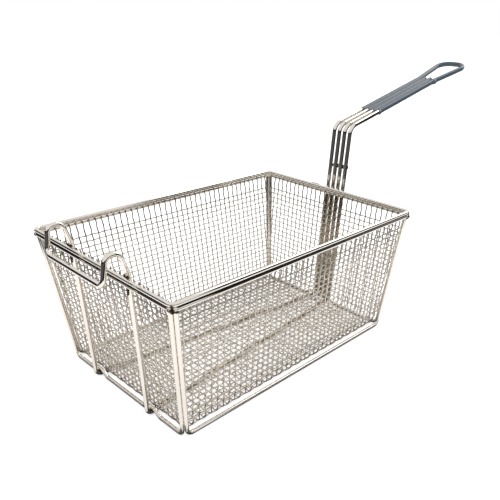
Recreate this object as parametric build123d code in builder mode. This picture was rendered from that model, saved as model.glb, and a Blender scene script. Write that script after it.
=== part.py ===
from build123d import *
import os
from math import cos, pi, radians, sqrt, tan

os.makedirs("parts", exist_ok=True)

# Lengths are in millimetres. X runs from the hook end to the handle end, Z is up from the table.

# Wires
frame_wire_diameter = 3.5
heavy_wire_diameter = 4.2
weld_gap = 0.2
seat_gap = 0.3
wrap_gap = 0.5

# Rim, measured between wire centres
rim_length = 280.0
rim_width = 195.6
rim_height = 126.0
rim_corner_radius = 5.0

# Base of the four side frames, measured between wire centres
base_length = 261.3
base_width = 171.4
base_shift = -3.45
frame_bend_radius = 6.0
post_inset = 0.9

# Raised crossing of the end base wires over the runners
crossing_slope_run = 6.0
crossing_side_room = 1.2
crossing_bend_radius = 4.5

# Front hook, supports and runners
support_spread = 41.0
hook_reach = 16.5
hook_bar_height = 125.0
hook_bar_bend_radius = 6.0
arch_height = 146.2
arch_inner_lean = 4.4
arch_outer_lean = 5.2
arch_bend_radius = 6.2
support_kink_radius = 10.0
support_kink_height = 129.5

# Handle
handle_wire_pitch = 6.8
handle_bend_height = 189.0
handle_bend_radius = 9.5
grip_rise_angle = 12.3
grip_end = 300.0
loop_length = 61.0
loop_half_width = 17.9
loop_flare_radius = 30.0
loop_bend_radius = 13.0
inner_wire_foot = 1.0
inner_wire_overlap = 3.0
cross_bar_length = 20.8
upper_cross_bar_height = 149.0
lower_cross_bar_height = 33.0

# Dip coating on the grip
coat_thickness = 0.45
coat_start = 194.0
coat_web_thickness = 2.6
coat_end_cap = 0.6

# Wire cloth, one folded sheet
cloth_thickness = 1.2
cloth_bend_radius = 5.0
cloth_corner_cut = 5.0
cloth_bar_width = 2.0
cloth_edge_band = 1.2
cloth_top_row = 24.0
floor_columns = 11
floor_rows = 7
side_columns = 11
end_columns = 7
wall_rows = 4

frame_radius = frame_wire_diameter / 2
heavy_radius = heavy_wire_diameter / 2
equal_area = sqrt(pi / (2 * sqrt(2)))
flat_turn = 22.5
flat_share = equal_area * cos(radians(flat_turn))
half_length = rim_length / 2
half_width = rim_width / 2
hook_base_x = base_shift - base_length / 2
handle_base_x = base_shift + base_length / 2
lower_rim_height = rim_height - frame_wire_diameter - weld_gap
post_top = lower_rim_height - frame_radius - seat_gap
post_step = (frame_wire_diameter + weld_gap) / sqrt(2)

# Where the heavy wires pass the end base wires
wrap_radius = heavy_radius + frame_radius + wrap_gap
runner_height = heavy_radius * flat_share
frame_base_height = frame_radius * flat_share
crossing_height = runner_height + wrap_radius
support_foot_x = hook_base_x - wrap_radius
handle_foot_x = handle_base_x + wrap_radius
support_top_x = -half_length + frame_radius + heavy_radius + weld_gap
handle_rim_x = half_length + frame_radius + heavy_radius + weld_gap
handle_lean = (handle_rim_x - handle_foot_x) / (lower_rim_height - runner_height)
handle_half_spread = handle_wire_pitch * 1.5
grip_slope = tan(radians(grip_rise_angle))


def handle_x(height):
    """X of the four upright handle wires at a height."""
    return handle_foot_x + handle_lean * (height - runner_height)


def grip_z(x):
    """Height of the grip's wire centres at X."""
    return handle_bend_height + (x - handle_x(handle_bend_height)) * grip_slope


def wire_plane(points, start, direction):
    """Section plane at the start of a wire, square to its first bend."""
    first, second, third = (Vector(*p) for p in points[:3])
    return Plane(origin=start, x_dir=(second - first).cross(third - second), z_dir=direction)


def add_wire(points, bends, radius, closed=False):
    """Sweep an eight-sided wire, as heavy as a round one, along straight runs and bends."""
    with BuildLine() as route:
        FilletPolyline(*points, radius=bends, close=closed)
    with BuildSketch(wire_plane(points, route.line @ 0, route.line % 0)) as section:
        RegularPolygon(radius * equal_area, 8, rotation=flat_turn)
    sweep(sections=section.sketch, path=route.line)


def rim_points(height):
    """Corners of a rim wire."""
    return [
        (-half_length, -half_width, height),
        (half_length, -half_width, height),
        (half_length, half_width, height),
        (-half_length, half_width, height),
    ]


with BuildPart() as rim_upper_wire:
    add_wire(rim_points(rim_height), rim_corner_radius, frame_radius, closed=True)

with BuildPart() as rim_lower_wire:
    add_wire(rim_points(lower_rim_height), rim_corner_radius, frame_radius, closed=True)


def crossing_points(x, middle, half_spread):
    """Raised stretch of an end base wire over the heavy wires at Y = middle."""
    flat = half_spread + heavy_radius + frame_radius + crossing_side_room
    foot = flat + crossing_slope_run
    return [
        (x, middle - foot, frame_base_height),
        (x, middle - flat, crossing_height),
        (x, middle + flat, crossing_height),
        (x, middle + foot, frame_base_height),
    ]


def end_frame(base_x, direction, crossings):
    """U-shaped frame of an end wall, with its base wire lifted over the runners."""
    top_x = direction * (half_length - post_inset)
    top_y = half_width - post_inset - post_step
    base_y = base_width / 2 - post_step
    lifted = [p for middle, spread in crossings for p in crossing_points(base_x, middle, spread)]
    points = [(top_x, -top_y, post_top), (base_x, -base_y, frame_base_height)]
    points += lifted
    points += [(base_x, base_y, frame_base_height), (top_x, top_y, post_top)]
    bends = [frame_bend_radius] + [crossing_bend_radius] * len(lifted) + [frame_bend_radius]
    add_wire(points, bends, frame_radius)


with BuildPart() as front_end_frame:
    end_frame(hook_base_x, -1, [(-support_spread, 0), (support_spread, 0)])

with BuildPart() as rear_end_frame:
    end_frame(handle_base_x, 1, [(0, handle_half_spread)])


def side_frame(direction):
    """U-shaped frame of a long wall."""
    top_x = half_length - post_inset - post_step
    top_y = direction * (half_width - post_inset)
    base_y = direction * base_width / 2
    points = [
        (-top_x, top_y, post_top),
        (hook_base_x + post_step, base_y, frame_base_height),
        (handle_base_x - post_step, base_y, frame_base_height),
        (top_x, top_y, post_top),
    ]
    add_wire(points, frame_bend_radius, frame_radius)


with BuildPart() as near_side_frame:
    side_frame(-1)

with BuildPart() as far_side_frame:
    side_frame(1)

# The main wire is the front hook, supports, runners, outer handle wires and handle loop
hook_bar_x = -half_length - hook_reach
arch_inner_x = support_top_x - arch_inner_lean
arch_outer_x = hook_bar_x + arch_outer_lean
handle_corner_x = handle_x(handle_bend_height)
loop_end = grip_end + loop_length

with BuildPart() as main_wire:
    main_points = [
        (hook_bar_x, 0, hook_bar_height),
        (hook_bar_x, support_spread, hook_bar_height),
        (arch_outer_x, support_spread, arch_height),
        (arch_inner_x, support_spread, arch_height),
        (support_top_x, support_spread, support_kink_height),
        (support_foot_x, support_spread, runner_height),
        (handle_foot_x, handle_half_spread, runner_height),
        (handle_corner_x, handle_half_spread, handle_bend_height),
        (grip_end, handle_half_spread, grip_z(grip_end)),
        (loop_end, loop_half_width, grip_z(loop_end)),
        (loop_end, 0, grip_z(loop_end)),
    ]
    main_bends = [
        hook_bar_bend_radius,
        arch_bend_radius,
        arch_bend_radius,
        support_kink_radius,
        wrap_radius,
        wrap_radius,
        handle_bend_radius,
        loop_flare_radius,
        loop_bend_radius,
    ]
    add_wire(main_points, main_bends, heavy_radius)
    mirror(about=Plane.XZ)


def inner_handle_wire(y):
    """One of the two middle wires of the handle."""
    end_x = grip_end + inner_wire_overlap
    foot_z = inner_wire_foot
    points = [
        (handle_x(foot_z), y, foot_z),
        (handle_corner_x, y, handle_bend_height),
        (end_x, y, grip_z(end_x)),
    ]
    add_wire(points, handle_bend_radius, heavy_radius)


with BuildPart() as near_handle_wire:
    inner_handle_wire(-handle_wire_pitch / 2)

with BuildPart() as far_handle_wire:
    inner_handle_wire(handle_wire_pitch / 2)


def add_rod(start, end, radius):
    """Straight eight-sided rod between two points."""
    axis = Vector(*end) - Vector(*start)
    side = axis.cross(Vector(0, 1, 0)) if abs(axis.Y) < abs(axis.X) else Vector(1, 0, 0)
    with BuildSketch(Plane(origin=start, x_dir=side, z_dir=axis)) as section:
        RegularPolygon(radius * equal_area, 8, rotation=flat_turn)
    extrude(section.sketch, amount=axis.length)


def cross_bar(height):
    """Short rod welded across the outside of the handle wires."""
    x = handle_x(height) + heavy_wire_diameter + weld_gap
    half = cross_bar_length / 2
    add_rod((x, -half, height), (x, half, height), heavy_radius)


with BuildPart() as upper_cross_bar:
    cross_bar(upper_cross_bar_height)

with BuildPart() as lower_cross_bar:
    cross_bar(lower_cross_bar_height)

# Dip coating: a sleeve on every wire of the grip, webs between them, and the wires taken out
coat_radius = heavy_radius + coat_thickness

with BuildPart() as grip_coating:
    loop_points = [(coat_start, handle_half_spread, grip_z(coat_start))] + main_points[-3:]
    add_wire(loop_points, main_bends[-2:], coat_radius)
    mirror(about=Plane.XZ)
    cap_x = grip_end + inner_wire_overlap + coat_end_cap
    for y in (-handle_wire_pitch / 2, handle_wire_pitch / 2):
        add_rod((coat_start, y, grip_z(coat_start)), (cap_x, y, grip_z(cap_x)), coat_radius)
    web_start = Vector(coat_start, 0, grip_z(coat_start))
    web_run = Vector(grip_end, 0, grip_z(grip_end)) - web_start
    with BuildSketch(Plane(origin=web_start, x_dir=(0, 1, 0), z_dir=web_run)):
        Rectangle(2 * handle_half_spread, coat_web_thickness)
    extrude(amount=web_run.length)
    add(main_wire.part, mode=Mode.SUBTRACT)
    add(near_handle_wire.part, mode=Mode.SUBTRACT)
    add(far_handle_wire.part, mode=Mode.SUBTRACT)

# Wire cloth: a thin folded tray with a grid of gaps in its floor and four walls
cloth_bottom = 2 * runner_height + weld_gap
corner_share = 2 - sqrt(2)
cloth_top = rim_height - frame_radius - weld_gap
side_seat = frame_radius + weld_gap
hook_top_x = support_top_x + heavy_radius + weld_gap
handle_top_x = half_length - side_seat
cloth_top_y = half_width - side_seat
hook_bottom_x = hook_base_x + side_seat
handle_bottom_x = handle_base_x - side_seat
cloth_bottom_y = base_width / 2 - side_seat


def wall_line(bottom, top, z):
    """Position of a leaning wall's outer face at a height."""
    return bottom + (top - bottom) * (z - cloth_bottom) / (cloth_top - cloth_bottom)


def tray_block(inset, bottom, top, mode=Mode.ADD):
    """Solid tray shape whose walls lie inside the cloth's outer faces by inset."""
    low_x, high_x, high_y = (
        [wall_line(*ends, z) + shift for z in (bottom, top)]
        for ends, shift in (
            ((hook_bottom_x, hook_top_x), inset),
            ((handle_bottom_x, handle_top_x), -inset),
            ((cloth_bottom_y, cloth_top_y), -inset),
        )
    )
    with BuildPart(mode=Mode.PRIVATE) as block:
        with Locations((low_x[1], -high_y[1], top)):
            Wedge(
                high_x[1] - low_x[1],
                top - bottom,
                2 * high_y[1],
                low_x[0] - low_x[1],
                high_y[1] - high_y[0],
                high_x[0] - low_x[1],
                high_y[1] + high_y[0],
                rotation=(-90, 0, 0),
                align=None,
            )
        upright = [e for e in block.edges() if e.bounding_box().size.Z > cloth_bend_radius]
        chamfer(upright, cloth_corner_cut - inset * corner_share)
        fillet(block.faces().sort_by(Axis.Z)[0].edges(), cloth_bend_radius - inset)
    add(block.part, mode=mode)


def gap_quads(lines, rows, columns):
    """Corner points of the gaps between two leaning lines, row by row."""
    low_line, high_line = lines
    margin = cloth_bend_radius + cloth_edge_band
    for low, high in rows:
        corners = {}
        for z in (low, high):
            start = wall_line(*low_line, z) + margin
            end = wall_line(*high_line, z) - margin
            gap = (end - start - (columns - 1) * cloth_bar_width) / columns
            corners[z] = [(start + i * (gap + cloth_bar_width), gap) for i in range(columns)]
        for (a, gap_a), (b, gap_b) in zip(corners[low], corners[high]):
            yield (a, low), (a + gap_a, low), (b + gap_b, high), (b, high)


def row_heights():
    """Lower and upper edge of each row of wall gaps, the top row taller."""
    start = cloth_bottom + cloth_bend_radius + cloth_edge_band
    top_row_start = cloth_top - cloth_edge_band - cloth_top_row
    pitch = (top_row_start - start) / (wall_rows - 1)
    starts = [start + i * pitch for i in range(wall_rows - 1)]
    rows = [(z, z + pitch - cloth_bar_width) for z in starts]
    return rows + [(top_row_start, cloth_top - cloth_edge_band)]


with BuildPart() as wire_cloth:
    tray_block(0, cloth_bottom, cloth_top)
    tray_block(cloth_thickness, cloth_bottom + cloth_thickness, cloth_top + cloth_thickness, Mode.SUBTRACT)
    side_lines = ((hook_bottom_x, hook_top_x), (handle_bottom_x, handle_top_x))
    end_lines = ((-cloth_bottom_y, -cloth_top_y), (cloth_bottom_y, cloth_top_y))
    with BuildSketch(Plane.XZ):
        for quad in gap_quads(side_lines, row_heights(), side_columns):
            with BuildLine():
                Polyline(*quad, close=True)
            make_face()
    extrude(amount=rim_width, both=True, mode=Mode.SUBTRACT)
    with BuildSketch(Plane.YZ):
        for quad in gap_quads(end_lines, row_heights(), end_columns):
            with BuildLine():
                Polyline(*quad, close=True)
            make_face()
    extrude(amount=rim_length, both=True, mode=Mode.SUBTRACT)
    floor_margin = cloth_bend_radius + cloth_edge_band
    floor_length = handle_bottom_x - hook_bottom_x - 2 * floor_margin
    floor_width = 2 * cloth_bottom_y - 2 * floor_margin
    floor_pitch_x = (floor_length + cloth_bar_width) / floor_columns
    floor_pitch_y = (floor_width + cloth_bar_width) / floor_rows
    with BuildSketch(Plane.XY):
        with Locations(((hook_bottom_x + handle_bottom_x) / 2, 0)):
            with GridLocations(floor_pitch_x, floor_pitch_y, floor_columns, floor_rows):
                Rectangle(floor_pitch_x - cloth_bar_width, floor_pitch_y - cloth_bar_width)
    extrude(amount=cloth_bottom + 2 * cloth_thickness, mode=Mode.SUBTRACT)

rim_upper_wire.part.label = "rim_upper_wire"
export_step(rim_upper_wire.part, "parts/rim_upper_wire.step")
rim_lower_wire.part.label = "rim_lower_wire"
export_step(rim_lower_wire.part, "parts/rim_lower_wire.step")
front_end_frame.part.label = "front_end_frame"
export_step(front_end_frame.part, "parts/front_end_frame.step")
rear_end_frame.part.label = "rear_end_frame"
export_step(rear_end_frame.part, "parts/rear_end_frame.step")
near_side_frame.part.label = "near_side_frame"
export_step(near_side_frame.part, "parts/near_side_frame.step")
far_side_frame.part.label = "far_side_frame"
export_step(far_side_frame.part, "parts/far_side_frame.step")
main_wire.part.label = "main_wire"
export_step(main_wire.part, "parts/main_wire.step")
near_handle_wire.part.label = "near_handle_wire"
export_step(near_handle_wire.part, "parts/near_handle_wire.step")
far_handle_wire.part.label = "far_handle_wire"
export_step(far_handle_wire.part, "parts/far_handle_wire.step")
upper_cross_bar.part.label = "upper_cross_bar"
export_step(upper_cross_bar.part, "parts/upper_cross_bar.step")
lower_cross_bar.part.label = "lower_cross_bar"
export_step(lower_cross_bar.part, "parts/lower_cross_bar.step")
grip_coating.part.label = "grip_coating"
export_step(grip_coating.part, "parts/grip_coating.step")
wire_cloth.part.label = "wire_cloth"
export_step(wire_cloth.part, "parts/wire_cloth.step")
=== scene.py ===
from math import cos, pi, radians, sin, sqrt, tan

import bpy
from mathutils import Matrix, Vector


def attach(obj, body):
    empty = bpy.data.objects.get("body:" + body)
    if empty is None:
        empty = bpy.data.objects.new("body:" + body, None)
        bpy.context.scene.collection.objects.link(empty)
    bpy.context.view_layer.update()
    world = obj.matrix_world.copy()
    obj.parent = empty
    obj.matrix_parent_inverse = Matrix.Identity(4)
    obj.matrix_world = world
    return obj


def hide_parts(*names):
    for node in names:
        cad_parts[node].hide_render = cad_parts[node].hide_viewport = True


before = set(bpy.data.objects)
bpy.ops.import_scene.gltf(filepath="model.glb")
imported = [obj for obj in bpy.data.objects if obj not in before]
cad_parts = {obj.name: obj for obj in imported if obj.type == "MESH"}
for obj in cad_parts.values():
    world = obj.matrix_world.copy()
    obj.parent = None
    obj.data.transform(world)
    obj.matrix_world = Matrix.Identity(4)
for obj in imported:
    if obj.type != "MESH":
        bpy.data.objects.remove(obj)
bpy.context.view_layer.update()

MM = 0.001

# Sizes of the wires, in millimetres, the same as in the part's source
frame_wire_radius = 1.75
heavy_wire_radius = 2.1
weld_gap = 0.2
wrap_gap = 0.5
rim_length = 280.0
rim_width = 195.6
rim_height = 126.0
rim_corner_radius = 5.0
base_length = 261.3
base_width = 171.4
base_shift = -3.45
frame_bend_radius = 6.0
post_inset = 0.9
crossing_slope_run = 6.0
crossing_side_room = 1.2
crossing_bend_radius = 4.5
support_spread = 41.0
hook_reach = 16.5
hook_bar_height = 125.0
hook_bar_bend_radius = 6.0
arch_height = 146.2
arch_inner_lean = 4.4
arch_outer_lean = 5.2
arch_bend_radius = 6.2
support_kink_radius = 10.0
support_kink_height = 129.5
handle_wire_pitch = 6.8
handle_bend_height = 189.0
handle_bend_radius = 9.5
grip_rise_angle = 12.3
grip_end = 300.0
loop_length = 61.0
loop_half_width = 17.9
loop_flare_radius = 30.0
loop_bend_radius = 13.0
inner_wire_foot = 1.0
inner_wire_overlap = 3.0
cross_bar_length = 20.8
upper_cross_bar_height = 149.0
lower_cross_bar_height = 33.0

half_length = rim_length / 2
half_width = rim_width / 2
hook_base_x = base_shift - base_length / 2
handle_base_x = base_shift + base_length / 2
lower_rim_height = rim_height - 2 * frame_wire_radius - weld_gap
post_top = lower_rim_height - frame_wire_radius
post_step = (2 * frame_wire_radius + weld_gap) / sqrt(2)
wrap_radius = heavy_wire_radius + frame_wire_radius + wrap_gap
# Centres of the wires that lie on the table, as the part's source has them for faceted wires
runner_height = 2.045
frame_base_height = 1.704
crossing_height = runner_height + wrap_radius
support_foot_x = hook_base_x - wrap_radius
handle_foot_x = handle_base_x + wrap_radius
support_top_x = -half_length + frame_wire_radius + heavy_wire_radius + weld_gap
handle_rim_x = half_length + frame_wire_radius + heavy_wire_radius + weld_gap
handle_lean = (handle_rim_x - handle_foot_x) / (lower_rim_height - runner_height)
handle_half_spread = handle_wire_pitch * 1.5
grip_slope = tan(radians(grip_rise_angle))


def handle_x(height):
    """X of the upright handle wires at a height."""
    return handle_foot_x + handle_lean * (height - runner_height)


def grip_z(x):
    """Height of the grip's wire centres at X."""
    return handle_bend_height + (x - handle_x(handle_bend_height)) * grip_slope


# Shader and geometry nodes


class Signal:
    """A node's output. Arithmetic on it adds Math nodes to its tree."""

    def __init__(self, tree, socket):
        self.tree = tree
        self.socket = socket

    def math(self, operation, *others):
        return self.tree.add("ShaderNodeMath", {"operation": operation}, (self, *others))

    def __add__(self, other):
        return self.math("ADD", other)

    def __sub__(self, other):
        return self.math("SUBTRACT", other)

    def __rsub__(self, other):
        return self.tree.add("ShaderNodeMath", {"operation": "SUBTRACT"}, (other, self))

    def __mul__(self, other):
        return self.math("MULTIPLY", other)

    def __truediv__(self, other):
        return self.math("DIVIDE", other)


class Tree:
    """Adds nodes to a shader or geometry tree."""

    def __init__(self, data):
        self.data = data

    def add(self, kind, settings=None, values=(), output=0):
        """Adds a node and gives one of its outputs, or the node itself if it has none."""
        node = self.data.nodes.new(kind)
        for name, value in (settings or {}).items():
            setattr(node, name, value)
        pairs = values.items() if isinstance(values, dict) else enumerate(values)
        for key, value in pairs:
            if isinstance(value, Signal):
                self.data.links.new(value.socket, node.inputs[key])
            else:
                node.inputs[key].default_value = value
        return Signal(self, node.outputs[output]) if node.outputs else node

    def mix(self, factor, first, second):
        """Colour between two colours."""
        return self.add(
            "ShaderNodeMix", {"data_type": "RGBA"}, {0: factor, 6: first, 7: second}, output=2
        )

    def noise(self, place, scale, detail=2.0, roughness=0.5):
        """Noise from 0 to 1 at a place."""
        return self.add(
            "ShaderNodeTexNoise",
            values={"Vector": place, "Scale": scale, "Detail": detail, "Roughness": roughness},
        )

    def between(self, value, low, high):
        """0 below low, 1 above high, and even in between."""
        return self.add("ShaderNodeMapRange", values=(value, low, high, 0.0, 1.0))

    def axes(self, vector):
        """X, Y and Z of a vector."""
        return [self.add("ShaderNodeSeparateXYZ", values=(vector,), output=i) for i in range(3)]

    def bump(self, height, strength, depth):
        """Normal of a bumpy surface; the depth is in millimetres."""
        return self.add(
            "ShaderNodeBump",
            values={"Strength": strength, "Distance": depth * MM, "Height": height},
        )

    def tube(self, curve, sides, radius):
        """Closed round wire along a curve."""
        ring = self.add(
            "GeometryNodeCurvePrimitiveCircle", values={"Resolution": sides, "Radius": radius}
        )
        return self.add(
            "GeometryNodeCurveToMesh",
            values={"Curve": curve, "Profile Curve": ring, "Fill Caps": True},
        )


# Output of the Texture Coordinate node that gives the place on the object
object_output = 3


def new_material(name):
    """An empty material, its tree and the place on the object."""
    material = bpy.data.materials.new(name)
    material.use_nodes = True
    material.node_tree.nodes.clear()
    tree = Tree(material.node_tree)
    return material, tree, tree.add("ShaderNodeTexCoord", output=object_output)


def finish_material(tree, values):
    """Principled shader with these sockets, and the output."""
    shader = tree.add("ShaderNodeBsdfPrincipled", values=values)
    tree.add("ShaderNodeOutputMaterial", values={"Surface": shader})


def finish_metal(tree, base, rough, bump):
    """Bare metal of this colour, roughness and bumpy normal, and the output."""
    finish_material(
        tree, {"Base Color": base, "Metallic": 1.0, "Roughness": rough, "Normal": bump}
    )


def colour(red, green, blue):
    """Opaque colour, in linear shares."""
    return (red, green, blue, 1.0)


# Finishes: shades as linear colours, lengths in millimetres
nickel_shades = colour(0.90, 0.84, 0.76), colour(0.95, 0.90, 0.84)
stain_shade, stain_share = colour(0.6, 0.5, 0.36), 0.25
# Dark colour of painted shade, under the wires on the table and in the rims' seam
painted_shade_dark = colour(0.02, 0.018, 0.015)
# Brown tints of the painted shade on the heavy wires at the handle end and under the floor
painted_film_tints = colour(0.32, 0.26, 0.18), colour(0.5, 0.43, 0.33)
cloth_shades = colour(0.60, 0.545, 0.475), colour(0.75, 0.685, 0.61)
speck_shade, speck_share = colour(0.16, 0.13, 0.09), 0.6
under_rim_painted_shade, under_rim_painted_share = colour(0.17, 0.16, 0.12), 0.75
dip_shades = colour(0.045, 0.064, 0.086), colour(0.066, 0.088, 0.112)
# Blackened weld, and also the dark of painted shade and reflection on the crossbars and some
# beads
weld_and_shade_tints = colour(0.010, 0.009, 0.008), colour(0.2, 0.155, 0.11)
# Roughness at its least, and what clouds, stains or specks add to it
plate_rough, cloud_rough, stain_rough = 0.02, 0.02, 0.06
cloth_rough, speck_rough = 0.04, 0.1
dip_rough, dip_cloud_rough = 0.45, 0.08
weld_rough = 0.38

# Painted shade in the seam between the two rims: how far from its middle it is full and where it
# ends, how far past the wires' centres it sets in, and how far before the corners it fades out
seam_core, seam_reach = 0.55, 1.0
seam_face_blur = 0.3
seam_corner = (4.5, 3.5)
# Painted contact shade under the wires that lie on the table: heights up to which it is full,
# and is gone
underside_core, underside_reach = 1.7, 2.1
underside_share = 0.95
# Painted shade, tinted brown, on the heavy wires outside the handle-end wall and under the
# floor: where it starts and ends
handle_shade_x, handle_shade_z = (112.0, 118.0), (119.0, 125.0)
under_floor_shade_x, under_floor_shade_z = (-131.0, -127.0), (7.5, 9.5)
# Heights over which painted shade darkens the cloth towards the rim
under_rim_z = (92.0, 114.0)


def rise(tree, value, limits):
    """0 before the first limit, 1 past the second; the limits are in millimetres."""
    return tree.between(value, limits[0] * MM, limits[1] * MM)


def plated_material(name, seam_height=None, shade_painted=False):
    """Bright nickel plate with clouds, drawing marks and stains, and painted shade low on the
    wires.

    Every plate has painted contact shade right above the table. A seam height paints shade into
    the rims' seam, and the heavy wires can get brown painted shade outside the handle-end wall
    and under the floor.
    """
    material, tree, place = new_material(name)
    clouds = tree.noise(place, scale=60.0, detail=3.0)
    blots = tree.noise(place, scale=190.0, detail=4.0, roughness=0.6)
    stains = tree.between(blots, low=0.62, high=0.72)
    grain = tree.noise(place, scale=900.0, detail=3.0)
    base = tree.mix(stains * stain_share, tree.mix(clouds, *nickel_shades), stain_shade)
    x, y, z = tree.axes(place)
    # Painted contact shade: the plate darkens right above the table
    underside = 1.0 - rise(tree, z, (underside_core, underside_reach))
    base = tree.mix(underside * underside_share, base, painted_shade_dark)
    if seam_height is not None:
        # Painted shade in the crevice between the two rims, on their outer faces
        off_seam = (z - seam_height * MM).math("ABSOLUTE")
        seam_shade = 1.0 - rise(tree, off_seam, (seam_core, seam_reach))
        outside, corner = [], []
        for value, half in ((x, half_length), (y, half_width)):
            far = value.math("ABSOLUTE")
            outside.append(rise(tree, far, (half, half + seam_face_blur)))
            corner.append(rise(tree, far, [half - inset for inset in seam_corner]))
        seam_shade = seam_shade * outside[0].math("MAXIMUM", outside[1]) * (1.0 - corner[0] * corner[1])
        base = tree.mix(seam_shade, base, painted_shade_dark)
    # Painted shade, tinted brown, outside the handle-end wall below the rim and under the floor
    if shade_painted:
        at_handle = rise(tree, x, handle_shade_x) * (1.0 - rise(tree, z, handle_shade_z))
        under_floor = rise(tree, x, under_floor_shade_x) * (1.0 - rise(tree, z, under_floor_shade_z))
        painted_film = at_handle.math("MAXIMUM", under_floor)
        base = tree.mix(painted_film, base, tree.mix(clouds, *painted_film_tints))
    rough = clouds * cloud_rough + stains * stain_rough + plate_rough
    finish_metal(tree, base, rough, tree.bump(grain, strength=0.03, depth=0.2))
    return material


def cloth_material():
    """Plated cloth wire, duller than the frame, specked, with painted shade right under the rim.
    """
    material, tree, place = new_material("cloth_wire_plate")
    clouds = tree.noise(place, scale=25.0, detail=3.0)
    specks = tree.noise(place, scale=700.0, detail=2.0)
    base = tree.mix(clouds, *cloth_shades)
    dark_specks = tree.between(specks, low=0.55, high=0.66)
    base = tree.mix(dark_specks * speck_share, base, speck_shade)
    # Painted shade on the cloth right under the rim
    high = rise(tree, tree.axes(place)[2], under_rim_z)
    base = tree.mix(high * under_rim_painted_share, base, under_rim_painted_shade)
    rough = specks * speck_rough + cloth_rough
    finish_metal(tree, base, rough, tree.bump(specks, strength=0.08, depth=0.1))
    return material


def dip_material():
    """Satin grey-blue dip coating with a faint orange peel."""
    material, tree, place = new_material("grip_dip_coat")
    clouds = tree.noise(place, scale=45.0, detail=3.0)
    peel = tree.noise(place, scale=420.0, detail=2.0)
    finish_material(
        tree,
        {
            "Base Color": tree.mix(clouds, *dip_shades),
            "Roughness": clouds * dip_cloud_rough + dip_rough,
            "Coat Weight": 0.7,
            "Coat Roughness": 0.05,
            "Specular IOR Level": 0.2,
            "Normal": tree.bump(peel, strength=0.12, depth=0.4),
        },
    )
    return material


def weld_and_shade_material():
    """Weld metal, blackened and browned by heat; on the crossbars and some beads it is painted
    shade and reflection.
    """
    material, tree, place = new_material("weld_and_painted_shade")
    mottle = tree.noise(place, scale=500.0, detail=4.0, roughness=0.6)
    base = tree.mix(tree.between(mottle, low=0.4, high=0.7), *weld_and_shade_tints)
    finish_metal(tree, base, weld_rough, tree.bump(mottle, strength=0.5, depth=0.4))
    return material


plated = plated_material("nickel_plate")
shade_painted_plate = plated_material("nickel_painted_shade", shade_painted=True)
rim_plate = plated_material("nickel_rim", (rim_height + lower_rim_height) / 2)
cloth_plate = cloth_material()
dip_coat = dip_material()
weld_and_painted_shade = weld_and_shade_material()


# Geometry trees


def geometry_tree(name, inputs):
    """A geometry tree with named inputs; gives the tree and its inputs as signals."""
    data = bpy.data.node_groups.new(name, "GeometryNodeTree")
    face = data.interface
    face.new_socket("Geometry", in_out="INPUT", socket_type="NodeSocketGeometry")
    face.new_socket("Geometry", in_out="OUTPUT", socket_type="NodeSocketGeometry")
    for label, kind in inputs:
        face.new_socket(label, in_out="INPUT", socket_type=f"NodeSocket{kind}")
    source = data.nodes.new("NodeGroupInput")
    tree = Tree(data)
    signals = {s.name: Signal(tree, s) for s in source.outputs if s.name}
    return tree, signals


def end_tree(tree, geometry, material):
    """Realises the result, gives it its material and sends it out."""
    real = tree.add("GeometryNodeRealizeInstances", values=(geometry,))
    smooth = tree.add("GeometryNodeSetShadeSmooth", values={"Geometry": real})
    done = tree.add("GeometryNodeSetMaterial", values={"Geometry": smooth, "Material": material})
    tree.add("NodeGroupOutput", values=(done,))


def grown(name, data, tree, sizes):
    """A plain mesh piece: the tree's result on some starting data."""
    holder = bpy.data.objects.new(name + "_source", data)
    bpy.context.scene.collection.objects.link(holder)
    modifier = holder.modifiers.new("grow", "NODES")
    modifier.node_group = tree.data
    for item in tree.data.interface.items_tree:
        if item.in_out == "INPUT" and item.name in sizes:
            modifier[item.identifier] = sizes[item.name]
    graph = bpy.context.evaluated_depsgraph_get()
    mesh = bpy.data.meshes.new_from_object(holder.evaluated_get(graph))
    bpy.data.objects.remove(holder)
    mesh.name = name
    piece = bpy.data.objects.new(name, mesh)
    bpy.context.scene.collection.objects.link(piece)
    return piece


def route_curve(routes):
    """Straight runs as poly splines; a point's radius holds its bend radius, in metres."""
    data = bpy.data.curves.new("routes", "CURVE")
    data.dimensions = "3D"
    for points, bends, closed in routes:
        spline = data.splines.new("POLY")
        spline.points.add(len(points) - 1)
        spline.use_cyclic_u = closed
        if not isinstance(bends, (list, tuple)):
            bends = [bends] * (len(points) if closed else len(points) - 2)
        held = bends if closed else [0.0, *bends, 0.0]
        for target, place, bend in zip(spline.points, points, held):
            target.co = (*(v * MM for v in place), 1.0)
            target.radius = bend * MM
    return data


def bent_route(tree, geometry, steps):
    """Rounds each corner of straight runs to its own bend radius."""
    bend = tree.add("GeometryNodeInputRadius")
    rounded = tree.add(
        "GeometryNodeFilletCurve",
        {"mode": "POLY"},
        {"Curve": geometry, "Count": steps, "Radius": bend, "Limit Radius": True},
    )
    return tree.add("GeometryNodeSetCurveRadius", values={"Curve": rounded, "Radius": 1.0})


def bent_wire_tree():
    """Round wire along straight runs and bends, with closed ends."""
    tree, given = geometry_tree(
        "bent wire",
        [
            ("Wire radius", "Float"),
            ("Sides", "Int"),
            ("Bend steps", "Int"),
            ("Material", "Material"),
        ],
    )
    route = bent_route(tree, given["Geometry"], given["Bend steps"])
    wire = tree.tube(route, given["Sides"], given["Wire radius"])
    end_tree(tree, wire, given["Material"])
    return tree


bent_wire = bent_wire_tree()
wire_sides = 24
wire_bend_steps = 14


def bent_wires(name, routes, radius, material):
    """Bent wires of one thickness along these routes, as one mesh."""
    sizes = {
        "Wire radius": radius * MM,
        "Sides": wire_sides,
        "Bend steps": wire_bend_steps,
        "Material": material,
    }
    return grown(name, route_curve(routes), bent_wire, sizes)


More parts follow.
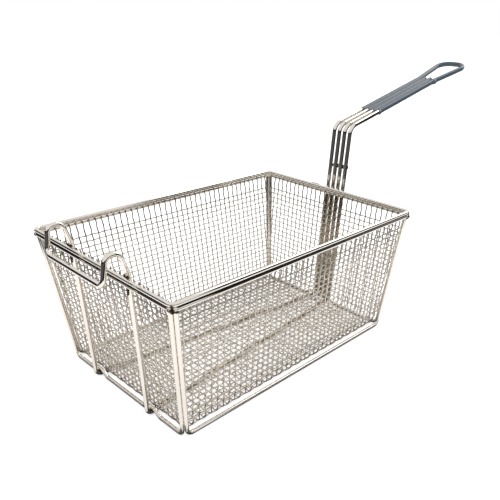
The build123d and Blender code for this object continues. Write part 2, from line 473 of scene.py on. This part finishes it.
def wire_piece(name, route, radius, *nodes, material=plated):
    """A bent plated wire that stands for its CAD node."""
    piece = bent_wires(name, [route], radius, material)
    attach(piece, "root")
    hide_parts(*nodes)


# A route is its points, its bend radii or the one radius of all bends, and whether it is closed


def rim_route(height):
    """Ring of a rim wire."""
    corners = [
        (-half_length, -half_width, height),
        (half_length, -half_width, height),
        (half_length, half_width, height),
        (-half_length, half_width, height),
    ]
    return corners, rim_corner_radius, True


for name, height, node in (
    ("upper_rim", rim_height, "rim_upper_wire"),
    ("lower_rim", lower_rim_height, "rim_lower_wire"),
):
    wire_piece(name, rim_route(height), frame_wire_radius, node, material=rim_plate)


def crossing_points(x, middle, half_spread):
    """Raised stretch of an end base wire over the heavy wires at Y = middle."""
    flat = half_spread + heavy_wire_radius + frame_wire_radius + crossing_side_room
    foot = flat + crossing_slope_run
    return [
        (x, middle - foot, frame_base_height),
        (x, middle - flat, crossing_height),
        (x, middle + flat, crossing_height),
        (x, middle + foot, frame_base_height),
    ]


def end_frame_route(base_x, direction, crossings):
    """Two corner posts and the base wire between them, raised at each crossing."""
    top_x = direction * (half_length - post_inset)
    top_y = half_width - post_inset - post_step
    base_y = base_width / 2 - post_step
    lifted = [p for middle, spread in crossings for p in crossing_points(base_x, middle, spread)]
    points = [(top_x, -top_y, post_top), (base_x, -base_y, frame_base_height)]
    points += lifted
    points += [(base_x, base_y, frame_base_height), (top_x, top_y, post_top)]
    bends = [frame_bend_radius] + [crossing_bend_radius] * len(lifted) + [frame_bend_radius]
    return points, bends, False


def side_frame_route(direction):
    """Two corner posts and the long base wire between them."""
    top_x = half_length - post_inset - post_step
    top_y = direction * (half_width - post_inset)
    base_y = direction * base_width / 2
    points = [
        (-top_x, top_y, post_top),
        (hook_base_x + post_step, base_y, frame_base_height),
        (handle_base_x - post_step, base_y, frame_base_height),
        (top_x, top_y, post_top),
    ]
    return points, frame_bend_radius, False


front_crossings = [(-support_spread, 0), (support_spread, 0)]
rear_crossings = [(0, handle_half_spread)]
front_route = end_frame_route(hook_base_x, -1, front_crossings)
rear_route = end_frame_route(handle_base_x, 1, rear_crossings)
wire_piece("front_frame", front_route, frame_wire_radius, "front_end_frame")
wire_piece("rear_frame", rear_route, frame_wire_radius, "rear_end_frame")
wire_piece("near_frame", side_frame_route(-1), frame_wire_radius, "near_side_frame")
wire_piece("far_frame", side_frame_route(1), frame_wire_radius, "far_side_frame")

# Hook, supports, runners, outer handle wires and loop
hook_bar_x = -half_length - hook_reach
arch_inner_x = support_top_x - arch_inner_lean
arch_outer_x = hook_bar_x + arch_outer_lean
handle_corner_x = handle_x(handle_bend_height)
loop_end = grip_end + loop_length
half_route = [
    (hook_bar_x, support_spread, hook_bar_height),
    (arch_outer_x, support_spread, arch_height),
    (arch_inner_x, support_spread, arch_height),
    (support_top_x, support_spread, support_kink_height),
    (support_foot_x, support_spread, runner_height),
    (handle_foot_x, handle_half_spread, runner_height),
    (handle_corner_x, handle_half_spread, handle_bend_height),
    (grip_end, handle_half_spread, grip_z(grip_end)),
    (loop_end, loop_half_width, grip_z(loop_end)),
]
half_bends = [
    hook_bar_bend_radius,
    arch_bend_radius,
    arch_bend_radius,
    support_kink_radius,
    wrap_radius,
    wrap_radius,
    handle_bend_radius,
    loop_flare_radius,
    loop_bend_radius,
]
other_half = [(x, -y, z) for x, y, z in reversed(half_route)]
main_route = (half_route + other_half, half_bends + half_bends[::-1], True)
wire_piece("main_frame_wire", main_route, heavy_wire_radius, "main_wire", material=shade_painted_plate)


def inner_wire_route(y):
    """Inner handle wire, from its foot up and into the grip."""
    end_x = grip_end + inner_wire_overlap
    points = [
        (handle_x(inner_wire_foot), y, inner_wire_foot),
        (handle_corner_x, y, handle_bend_height),
        (end_x, y, grip_z(end_x)),
    ]
    return points, handle_bend_radius, False


inner_y = handle_wire_pitch / 2
for name, y, node in (
    ("near_inner_wire", -inner_y, "near_handle_wire"),
    ("far_inner_wire", inner_y, "far_handle_wire"),
):
    wire_piece(name, inner_wire_route(y), heavy_wire_radius, node, material=shade_painted_plate)

# Crossbars; their ends melt into the weld beads, so they are a little shorter than the source's
bar_end_melt = 1.4
bar_half = cross_bar_length / 2 - bar_end_melt


def cross_bar_route(height):
    """Short rod on the outer side of the handle wires."""
    x = handle_x(height) + 2 * heavy_wire_radius + weld_gap
    return [(x, -bar_half, height), (x, bar_half, height)], [], False


# The crossbars' dark weld finish is painted shade between the handle wires
for name, height, node in (
    ("upper_bar", upper_cross_bar_height, "upper_cross_bar"),
    ("lower_bar", lower_cross_bar_height, "lower_cross_bar"),
):
    wire_piece(name, cross_bar_route(height), heavy_wire_radius, node, material=weld_and_painted_shade)

# Weld beads, and dark beads of painted shade and reflection: X, Y, Z and radius. Those of a
# corner are mirrored to the other three
post_line_x = half_length - post_inset
post_line_y = half_width - post_inset
corner_beads = [
    (post_line_x + 0.9, post_line_y - post_step, post_top + 1.2, 1.7),
    (post_line_x - post_step, post_line_y + 0.9, post_top + 0.4, 1.8),
    (half_length - 0.6, half_width - 0.6, lower_rim_height - 0.9, 2.1),
    (half_length - 0.5, half_width - 0.5, rim_height - 1.2, 1.3),
]
# Beads of a support, with Y from its middle
support_beads = [
    (support_top_x - 1.4, 1.2, rim_height + 1.6, 1.5),
    (support_top_x - 1.5, -1.6, rim_height + 1.2, 1.3),
    # These four, under the lower rim, are a painted dark reflection of the support's bend
    (support_top_x - 2.6, -1.7, lower_rim_height - 3.2, 1.3),
    (support_top_x - 2.7, -1.1, lower_rim_height - 5.2, 1.2),
    (support_top_x - 2.7, -0.6, lower_rim_height - 7.0, 1.1),
    (support_top_x - 2.6, -0.2, lower_rim_height - 8.6, 1.0),
    (hook_base_x - 0.6, 2.0, crossing_height - 1.6, 1.6),
    (hook_base_x - 0.4, -2.0, crossing_height - 1.6, 1.6),
]
weld_and_shade_spots = [
    (end * x, side * y, z, size)
    for end in (-1, 1)
    for side in (-1, 1)
    for x, y, z, size in corner_beads
]
weld_and_shade_spots += [
    (x, side * support_spread + y, z, size)
    for side in (-1, 1)
    for x, y, z, size in support_beads
]

# Dark beads of painted shade and reflection between the handle wires, on the upper rim and along
# the crossbars
rim_shade_bead_ys = (-13.0, -6.8, 0.0, 6.8)
bar_shade_bead_ys = (-6.8, 0.0, 6.8)
weld_and_shade_spots += [(half_length + 1.9, y, rim_height + 0.9, 1.35) for y in rim_shade_bead_ys]
weld_and_shade_spots += [
    (handle_x(height) + 1.6, y + 1.9, height, 1.5)
    for y in bar_shade_bead_ys
    for height in (upper_cross_bar_height, lower_cross_bar_height)
]

# Dark beads of painted shade and reflection along the upper rim, past the far handle wire
dark_line_start, dark_line_step, dark_line_beads = 21.0, 1.4, 7
weld_and_shade_spots += [
    (half_length + 1.3, dark_line_start + dark_line_step * i, rim_height + 0.9, 1.1)
    for i in range(dark_line_beads)
]


def weld_and_shade_tree():
    """A lumpy bead on every point, as large as its bead_radius says."""
    tree, given = geometry_tree("weld and shade beads", [("Roughness", "Float"), ("Scale", "Float")])
    ball = tree.add("GeometryNodeMeshIcoSphere", values={"Radius": 1.0, "Subdivisions": 4})
    size = tree.add(
        "GeometryNodeInputNamedAttribute", {"data_type": "FLOAT"}, {"Name": "bead_radius"}
    )
    balls = tree.add(
        "GeometryNodeInstanceOnPoints",
        values={"Points": given["Geometry"], "Instance": ball, "Scale": size},
    )
    real = tree.add("GeometryNodeRealizeInstances", values=(balls,))
    place = tree.add("GeometryNodeInputPosition")
    lumps = tree.add(
        "ShaderNodeTexNoise", values={"Vector": place, "Scale": given["Scale"], "Detail": 2.0}
    )
    normal = tree.add("GeometryNodeInputNormal")
    push = tree.add(
        "ShaderNodeVectorMath",
        {"operation": "SCALE"},
        {"Vector": normal, "Scale": (lumps - 0.5) * given["Roughness"]},
    )
    lumpy = tree.add("GeometryNodeSetPosition", values={"Geometry": real, "Offset": push})
    end_tree(tree, lumpy, weld_and_painted_shade)
    return tree


bead_lumps = {"Roughness": 1.2 * MM, "Scale": 520.0}
bead_points = bpy.data.meshes.new("bead_points")
bead_points.from_pydata([tuple(v * MM for v in bead[:3]) for bead in weld_and_shade_spots], [], [])
bead_radius = bead_points.attributes.new("bead_radius", "FLOAT", "POINT")
for entry, bead in zip(bead_radius.data, weld_and_shade_spots):
    entry.value = bead[3] * MM
beads = grown("weld_and_shade_beads", bead_points, weld_and_shade_tree(), bead_lumps)
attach(beads, "root")

# Dip coating on the grip and loop
coat_radius = 2.55
coat_start = 194.0
coat_web_half = 1.3
coat_end_cap = 0.6
coat_voxel = 0.5
coat_smoothing, coat_smooth_rounds = 0.5, 5
# How far past coat_start each sleeve begins, from the far one to the near one
coat_setbacks = (0.0, 1.4, 0.5, 2.2)
# How far past coat_start the web begins, and before the grip's end it ends
web_setback, web_end_room = 2.6, 1.0
# Drips under the near sleeves: X, length and Y
coat_drips = [(196.4, 1.2, -11.2), (297.0, 3.5, -11.6), (301.5, 1.5, -5.2)]
coat_drip_drop = 0.4


def coat_piece():
    """The whole coating, fused and smoothed like a dipped skin."""
    ys = (handle_half_spread, inner_y, -inner_y, -handle_half_spread)
    starts = [coat_start + setback for setback in coat_setbacks]
    tips = [(x, y, grip_z(x)) for x, y in zip(starts, ys)]
    loop = [tips[0], *half_route[-2:], *other_half[:2], tips[3]]
    routes = [(loop, half_bends[-2:] + half_bends[-2:][::-1], False)]
    cap_x = grip_end + inner_wire_overlap + coat_end_cap
    for x, y, z in tips[1:3]:
        routes.append(([(x, y, z), (cap_x, y, grip_z(cap_x))], [], False))
    for x, length, y in coat_drips:
        drip = [(end, y, grip_z(end) - coat_drip_drop) for end in (x, x + length)]
        routes.append((drip, [], False))
    piece = bent_wires("grip_coat", routes, coat_radius, dip_coat)
    web = bpy.data.meshes.new("web")
    corners = [
        Vector((x, y, grip_z(x) + lift)) * MM
        for x in (coat_start + web_setback, grip_end - web_end_room)
        for y in (-handle_half_spread, handle_half_spread)
        for lift in (-coat_web_half, coat_web_half)
    ]
    faces = [(0, 1, 3, 2), (4, 6, 7, 5), (0, 4, 5, 1), (2, 3, 7, 6), (0, 2, 6, 4), (1, 5, 7, 3)]
    web.from_pydata(corners, [], faces)
    web.update()
    slab = bpy.data.objects.new("web", web)
    bpy.context.scene.collection.objects.link(slab)
    bpy.ops.object.select_all(action="DESELECT")
    slab.select_set(True)
    piece.select_set(True)
    bpy.context.view_layer.objects.active = piece
    bpy.ops.object.join()
    skin = piece.modifiers.new("skin", "REMESH")
    skin.mode = "VOXEL"
    skin.voxel_size = coat_voxel * MM
    skin.use_smooth_shade = True
    flow = piece.modifiers.new("flow", "SMOOTH")
    flow.factor = coat_smoothing
    flow.iterations = coat_smooth_rounds
    graph = bpy.context.evaluated_depsgraph_get()
    mesh = bpy.data.meshes.new_from_object(piece.evaluated_get(graph))
    piece.modifiers.clear()
    piece.data = mesh
    mesh.materials.clear()
    mesh.materials.append(dip_coat)
    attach(piece, "root")
    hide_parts("grip_coating")


coat_piece()

# Woven cloth: its wires, how far they weave in and out, and how far apart they are
cloth_wire_radius = 0.64
ring_wire_radius = 0.48
cloth_crimp = 0.45
ring_crimp = 0.5
column_pitch = 6.35
ring_pitch = 5.18
# Sides of a wire, steps in a bend and length of a segment
cloth_sides, cloth_bend_steps, cloth_step = 6, 4, 1.75
# Bends between floor and walls, and of the rings at the corners
cloth_fold_radius = 5.0
cloth_corner_radius = 4.0
# Its middle surface lies this far inside the outer faces of the CAD cloth
cloth_layer = 0.6
# Highest ring under the rim, and lowest ring above the floor as a share of the fold's radius
first_ring_drop = 16.0
last_ring_share = 0.7
# One column and one row as the photograph has them, and room for the wires at corners
column_x0 = 124.4
row_y0 = 90.7
corner_room = 1.6
# The hook-end wall bows out to its corner posts past this Y, and has a wire beside each edge
bow_start = 52.0
hook_corner_bow = 2.4
bow_bend_radius = 20.0
edge_wire_room = 4.0

cloth_bottom = 2 * runner_height + weld_gap
cloth_top = rim_height - frame_wire_radius - weld_gap
side_seat = frame_wire_radius + weld_gap
hook_top_x = support_top_x + heavy_wire_radius + weld_gap
handle_top_x = half_length - side_seat
cloth_top_y = half_width - side_seat
hook_bottom_x = hook_base_x + side_seat
handle_bottom_x = handle_base_x - side_seat
cloth_bottom_y = base_width / 2 - side_seat
floor_z = cloth_bottom + cloth_layer


def wall_line(bottom, top, z):
    """Where a leaning wall's outer face is at a height."""
    return bottom + (top - bottom) * (z - cloth_bottom) / (cloth_top - cloth_bottom)


def low_x(z):
    """X of the hook-end wall's middle surface at a height, where it doesn't bow."""
    return wall_line(hook_bottom_x, hook_top_x, z) + cloth_layer


def high_x(z):
    """X of the handle-end wall's middle surface at a height."""
    return wall_line(handle_bottom_x, handle_top_x, z) - cloth_layer


def side_y(z):
    """Y of the far wall's middle surface at a height; the near wall mirrors it."""
    return wall_line(cloth_bottom_y, cloth_top_y, z) - cloth_layer


def hook_bow(y, z):
    """How far the hook-end wall bows out to the corner posts at a place."""
    share = max(0.0, abs(y) - bow_start) / (side_y(z) - bow_start)
    return hook_corner_bow * share * (z - floor_z) / (cloth_top - floor_z)


def height_where(line, value):
    """Height at which a leaning wall reaches a value."""
    low, high = line(floor_z), line(cloth_top)
    return floor_z + (value - low) / (high - low) * (cloth_top - floor_z)


def stations(low, high, start, pitch):
    """Places of wires at an even pitch from start, between low and high."""
    first = int((low - start) / pitch) - 1
    places = [start + (first + i) * pitch for i in range(int((high - low) / pitch) + 4)]
    return [p for p in places if low < p < high]


def cross_wire_routes():
    """Wires that run down a long wall, across the floor and up the other wall."""
    routes = []
    first_x = low_x(cloth_top) - hook_corner_bow + corner_room
    for x in stations(first_x, high_x(cloth_top) - corner_room, column_x0, column_pitch):
        if low_x(floor_z) + corner_room < x < high_x(floor_z) - corner_room:
            routes.append((
                [
                    (x, -side_y(cloth_top), cloth_top),
                    (x, -side_y(floor_z), floor_z),
                    (x, side_y(floor_z), floor_z),
                    (x, side_y(cloth_top), cloth_top),
                ],
                cloth_fold_radius,
                False,
            ))
            continue
        foot = height_where(high_x, x + corner_room) if x > 0 else floor_z + cloth_fold_radius
        for side in (-1, 1):
            routes.append((
                [(x, side * side_y(cloth_top), cloth_top), (x, side * side_y(foot), foot)],
                [],
                False,
            ))
    return routes


def length_wire_routes():
    """Wires that run down an end wall, along the floor and up the other end wall."""
    routes = []
    reach = side_y(cloth_top) - corner_room
    for y in stations(-reach, reach, row_y0, column_pitch):
        if abs(y) < side_y(floor_z) - corner_room:
            routes.append((
                [
                    (low_x(cloth_top) - hook_bow(y, cloth_top), y, cloth_top),
                    (low_x(floor_z), y, floor_z),
                    (high_x(floor_z), y, floor_z),
                    (high_x(cloth_top), y, cloth_top),
                ],
                cloth_fold_radius,
                False,
            ))
            continue
        foot = height_where(side_y, abs(y) + corner_room)
        hook_top = (low_x(cloth_top) - hook_bow(y, cloth_top), y, cloth_top)
        hook_foot = (low_x(foot) - hook_bow(y, foot), y, foot)
        routes.append(([hook_top, hook_foot], [], False))
        routes.append(([(high_x(cloth_top), y, cloth_top), (high_x(foot), y, foot)], [], False))
    foot = floor_z + cloth_fold_radius
    for side in (-1, 1):
        edge = []
        for z in (cloth_top, foot):
            y = side * (side_y(z) - edge_wire_room)
            edge.append((low_x(z) - hook_bow(y, z), y, z))
        routes.append((edge, [], False))
    return routes


# Rings are evenly spaced along the leaning walls; the slope is so small that it is its own angle
side_slope = (cloth_top_y - cloth_bottom_y) / (cloth_top - cloth_bottom)
ring_drop = ring_pitch * cos(side_slope)
first_ring_z = rim_height - first_ring_drop


def ring_routes():
    """Wires that run round the four walls."""
    routes = []
    z = first_ring_z
    while z > floor_z + cloth_fold_radius * last_ring_share:
        bowed_x = low_x(z) - hook_bow(side_y(z), z)
        corners = [
            (bowed_x, -side_y(z), z),
            (high_x(z), -side_y(z), z),
            (high_x(z), side_y(z), z),
            (bowed_x, side_y(z), z),
            (low_x(z), bow_start, z),
            (low_x(z), -bow_start, z),
        ]
        bends = [cloth_corner_radius] * 4 + [bow_bend_radius] * 2
        routes.append((corners, bends, True))
        z -= ring_drop
    return routes


def woven_tree():
    """Crimped wires: each passes over one crossing wire and under the next."""
    tree, given = geometry_tree(
        "woven wire",
        [
            ("Wire radius", "Float"),
            ("Sides", "Int"),
            ("Bend steps", "Int"),
            ("Step", "Float"),
            ("Crimp", "Float"),
            ("Across", "Vector"),
            ("Column pitch", "Float"),
            ("Column start", "Float"),
            ("Row start", "Float"),
            ("Ring pitch", "Float"),
            ("Ring start", "Float"),
        ],
    )
    route = bent_route(tree, given["Geometry"], given["Bend steps"])
    even = tree.add(
        "GeometryNodeResampleCurve",
        {"mode": "LENGTH"},
        {"Curve": route, "Length": given["Step"]},
    )
    tangent = tree.add("GeometryNodeInputTangent")
    square = tree.add(
        "ShaderNodeVectorMath", {"operation": "CROSS_PRODUCT"}, (tangent, given["Across"])
    )
    normal = tree.add("ShaderNodeVectorMath", {"operation": "NORMALIZE"}, (square,))
    x, y, z = tree.axes(tree.add("GeometryNodeInputPosition"))
    nx, ny, nz = tree.axes(normal)
    column = ((x - given["Column start"]) / given["Column pitch"] * pi).math("COSINE")
    row = ((y - given["Row start"]) / given["Column pitch"] * pi).math("COSINE")
    ring = ((given["Ring start"] - z) / given["Ring pitch"] * pi).math("COSINE")
    weave = nz * nz * column * row + ny * ny * column * ring + nx * nx * row * ring
    shift = tree.add(
        "ShaderNodeVectorMath",
        {"operation": "SCALE"},
        {"Vector": normal, "Scale": weave * given["Crimp"]},
    )
    crimped = tree.add("GeometryNodeSetPosition", values={"Geometry": even, "Offset": shift})
    wire = tree.tube(crimped, given["Sides"], given["Wire radius"])
    end_tree(tree, wire, cloth_plate)
    return tree


woven_wire = woven_tree()


def cloth_piece(name, routes, across, crimp, radius=cloth_wire_radius):
    """One family of the cloth's wires."""
    sizes = {
        "Wire radius": radius * MM,
        "Sides": cloth_sides,
        "Bend steps": cloth_bend_steps,
        "Step": cloth_step * MM,
        "Crimp": crimp * MM,
        "Across": across,
        "Column pitch": column_pitch * MM,
        "Column start": column_x0 * MM,
        "Row start": row_y0 * MM,
        "Ring pitch": ring_drop * MM,
        "Ring start": first_ring_z * MM,
    }
    piece = grown(name, route_curve(routes), woven_wire, sizes)
    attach(piece, "root")
    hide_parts("wire_cloth")


cloth_piece("cloth_cross_wires", cross_wire_routes(), (1.0, 0.0, 0.0), cloth_crimp)
cloth_piece("cloth_length_wires", length_wire_routes(), (0.0, 1.0, 0.0), -cloth_crimp)
cloth_piece("cloth_ring_wires", ring_routes(), (0.0, 0.0, 1.0), ring_crimp, ring_wire_radius)

# Stage: a white floor. Its lengths are in metres where nothing else is said
floor_reach = 6.0
floor_corners = [
    (x * floor_reach, y * floor_reach, 0) for x, y in ((-1, -1), (1, -1), (1, 1), (-1, 1))
]
floor_mesh = bpy.data.meshes.new("floor")
floor_mesh.from_pydata(floor_corners, [], [(0, 1, 2, 3)])
floor = bpy.data.objects.new("floor", floor_mesh)
bpy.context.scene.collection.objects.link(floor)

# What the bright wires reflect of the floor: a white table with edges, dark beyond them and at
# its far corner, grey far away, and dark bands of painted contact shadow below the base wires
floor_shade, floor_glow = colour(0.9, 0.9, 0.9), 0.45
table_x = (-0.47, 0.5)
table_near_y = -0.4
far_corner_x, far_corner_y = -0.28, 0.24
table_blur = 0.03
grey_floor_start, grey_floor_blur = 1.1, 0.2
# Painted shadow bands: half their width and how far they pass the wires, in millimetres, and
# their depth
band_half, band_past_end = 10.0, 4.0
band_blur, band_share = 0.001, 0.9

# What they reflect of the room, as ranges of the direction's X, Y and Z: pale, with one soft
# window, a dark panel to the right of the camera, a dark wall with a grey foot behind the hook
# end, another dark wall at the far side, and a dark zone beside the camera
dark_room = colour(0.012, 0.012, 0.014)
pale_room = colour(0.8, 0.8, 0.8)
window_light = colour(3.0, 3.0, 3.0)
grey_wall = colour(0.08, 0.08, 0.08)
white = colour(1, 1, 1)
window = ((0.52, 0.92), (-0.38, 0.22))
dark_panel = ((0.5, 0.86), (-0.86, -0.4))
wall_x, wall_height, grey_height = -0.35, 0.28, 0.05
far_wall_x, far_wall_y, far_wall_height = -0.3, 0.5, 0.42
camera_zone = ((-0.4, 0.45), (-1.1, -0.8))
camera_zone_height = 0.15
room_blur = 0.02
# Outputs of the Light Path node
camera_ray, glossy_ray = 0, 3


def above(tree, value, limit, blur):
    """1 where a value is above a limit, 0 below it."""
    return tree.between(value, limit - blur, limit + blur)


def inside(tree, value, limits, blur):
    """1 between two limits."""
    return above(tree, value, limits[0], blur) * (1.0 - above(tree, value, limits[1], blur))


def zone(tree, x, y, limits, blur):
    """1 inside a rectangle."""
    return inside(tree, x, limits[0], blur) * inside(tree, y, limits[1], blur)


floor_material, floor_tree, floor_place = new_material("white_floor")
seen_by_camera = floor_tree.add("ShaderNodeLightPath", output=camera_ray)
in_gloss = floor_tree.add("ShaderNodeLightPath", output=glossy_ray)
floor_matte = floor_tree.add("ShaderNodeBsdfDiffuse", values={"Color": floor_shade})
floor_light = floor_tree.add(
    "ShaderNodeEmission", values={"Color": white, "Strength": seen_by_camera * floor_glow}
)
floor_lit = floor_tree.add("ShaderNodeAddShader", values=(floor_matte, floor_light))
floor_x, floor_y = floor_tree.axes(floor_place)[:2]
on_table = inside(floor_tree, floor_x, table_x, table_blur)
on_table = on_table * above(floor_tree, floor_y, table_near_y, table_blur)
far_corner = above(floor_tree, floor_y, far_corner_y, table_blur)
far_corner = far_corner * (1.0 - above(floor_tree, floor_x, far_corner_x, table_blur))
# Each band: the axis across it, its middle on that axis, the axis along it and half its length
bands = [
    (floor_x, hook_base_x, floor_y, base_width / 2),
    (floor_x, handle_base_x, floor_y, base_width / 2),
    (floor_y, -base_width / 2, floor_x, base_length / 2),
    (floor_y, base_width / 2, floor_x, base_length / 2),
]
# Painted contact shadow on the floor, seen only in reflections, below each base wire
for across, middle, along, half_run in bands:
    edges = (middle - band_half) * MM, (middle + band_half) * MM
    end = (half_run + band_past_end) * MM
    band = inside(floor_tree, across, edges, band_blur)
    band = band * (1.0 - above(floor_tree, along.math("ABSOLUTE"), end, band_blur))
    on_table = on_table * (1.0 - band * band_share)
off_table = 1.0 - on_table * (1.0 - far_corner)
from_middle = (floor_x * floor_x + floor_y * floor_y).math("SQRT")
far_away = above(floor_tree, from_middle, grey_floor_start, grey_floor_blur)
far_floor = floor_tree.mix(far_away, dark_room, grey_wall)
floor_dark = floor_tree.add("ShaderNodeEmission", values={"Color": far_floor, "Strength": 1.0})
floor_seen = floor_tree.add(
    "ShaderNodeMixShader", values=(off_table * in_gloss, floor_lit, floor_dark)
)
floor_tree.add("ShaderNodeOutputMaterial", values={"Surface": floor_seen})
floor_mesh.materials.append(floor_material)

world = bpy.data.worlds.new("studio")
bpy.context.scene.world = world
world.use_nodes = True
world.node_tree.nodes.clear()
sky = Tree(world.node_tree)
dx, dy, dz = sky.axes(sky.add("ShaderNodeTexCoord"))
room = pale_room
for limits, shade in ((window, window_light), (dark_panel, dark_room)):
    room = sky.mix(zone(sky, dx, dy, limits, room_blur), room, shade)
wall = 1.0 - above(sky, dx, wall_x, room_blur)
wall = wall * (1.0 - above(sky, dz, wall_height, room_blur))
wall_shade = sky.mix(above(sky, dz, grey_height, room_blur), grey_wall, dark_room)
room = sky.mix(wall, room, wall_shade)
far_wall = 1.0 - above(sky, dx, far_wall_x, room_blur)
far_wall = far_wall * above(sky, dy, far_wall_y, room_blur)
far_wall = far_wall * (1.0 - above(sky, dz, far_wall_height, room_blur))
room = sky.mix(far_wall, room, dark_room)
beside = zone(sky, dx, dy, camera_zone, room_blur)
beside = beside * (1.0 - above(sky, dz, camera_zone_height, room_blur))
room = sky.mix(beside, room, dark_room)
backdrop = sky.mix(sky.add("ShaderNodeLightPath", output=glossy_ray), white, room)
background = sky.add("ShaderNodeBackground", values={"Color": backdrop, "Strength": 1.0})
sky.add("ShaderNodeOutputWorld", values={"Surface": background})

# Lamps
lamp_aim = Vector((0, 0, 0.1))
lamp_size = 1.2


def area_lamp(name, place, power):
    """Soft square lamp of this many watts, aimed at the basket."""
    lamp = bpy.data.lights.new(name, "AREA")
    lamp.shape = "SQUARE"
    lamp.size = lamp_size
    lamp.energy = power
    holder = bpy.data.objects.new(name, lamp)
    holder.location = place
    holder.rotation_euler = (lamp_aim - Vector(place)).to_track_quat("-Z", "Y").to_euler()
    holder.visible_glossy = False
    bpy.context.scene.collection.objects.link(holder)


area_lamp("key", (-0.6, -0.9, 1.6), 8)
area_lamp("fill", (1.0, 0.6, 1.4), 4)

# Camera, fitted to the photograph: pixels, radians and millimetres
image_size = 500
sensor = 36.0
focal_px = 543.27
principal = (301.90, 360.55)
azimuth, elevation, roll = -0.8412, 0.5870, 0.0322
distance = 539.17
target = Vector((17.67, -73.28, -2.58))
camera_data = bpy.data.cameras.new("photo_camera")
camera_data.sensor_width = sensor
camera_data.lens = focal_px * sensor / image_size
camera_data.shift_x = (image_size / 2 - principal[0]) / image_size
camera_data.shift_y = (principal[1] - image_size / 2) / image_size
camera_data.clip_start = 0.01
camera_data.clip_end = 50
camera = bpy.data.objects.new("photo_camera", camera_data)
back = Vector((sin(azimuth) * cos(elevation), -cos(azimuth) * cos(elevation), sin(elevation)))
right = Vector((cos(azimuth), sin(azimuth), 0))
up = back.cross(right)
turned_right = right * cos(roll) + up * sin(roll)
turned_up = up * cos(roll) - right * sin(roll)
turn = Matrix((turned_right, turned_up, back)).transposed()
eye = (target + back * distance) * MM
camera.matrix_world = Matrix.Translation(eye) @ turn.to_4x4()
bpy.context.scene.collection.objects.link(camera)
bpy.context.scene.camera = camera
bpy.context.scene.view_settings.view_transform = "Standard"
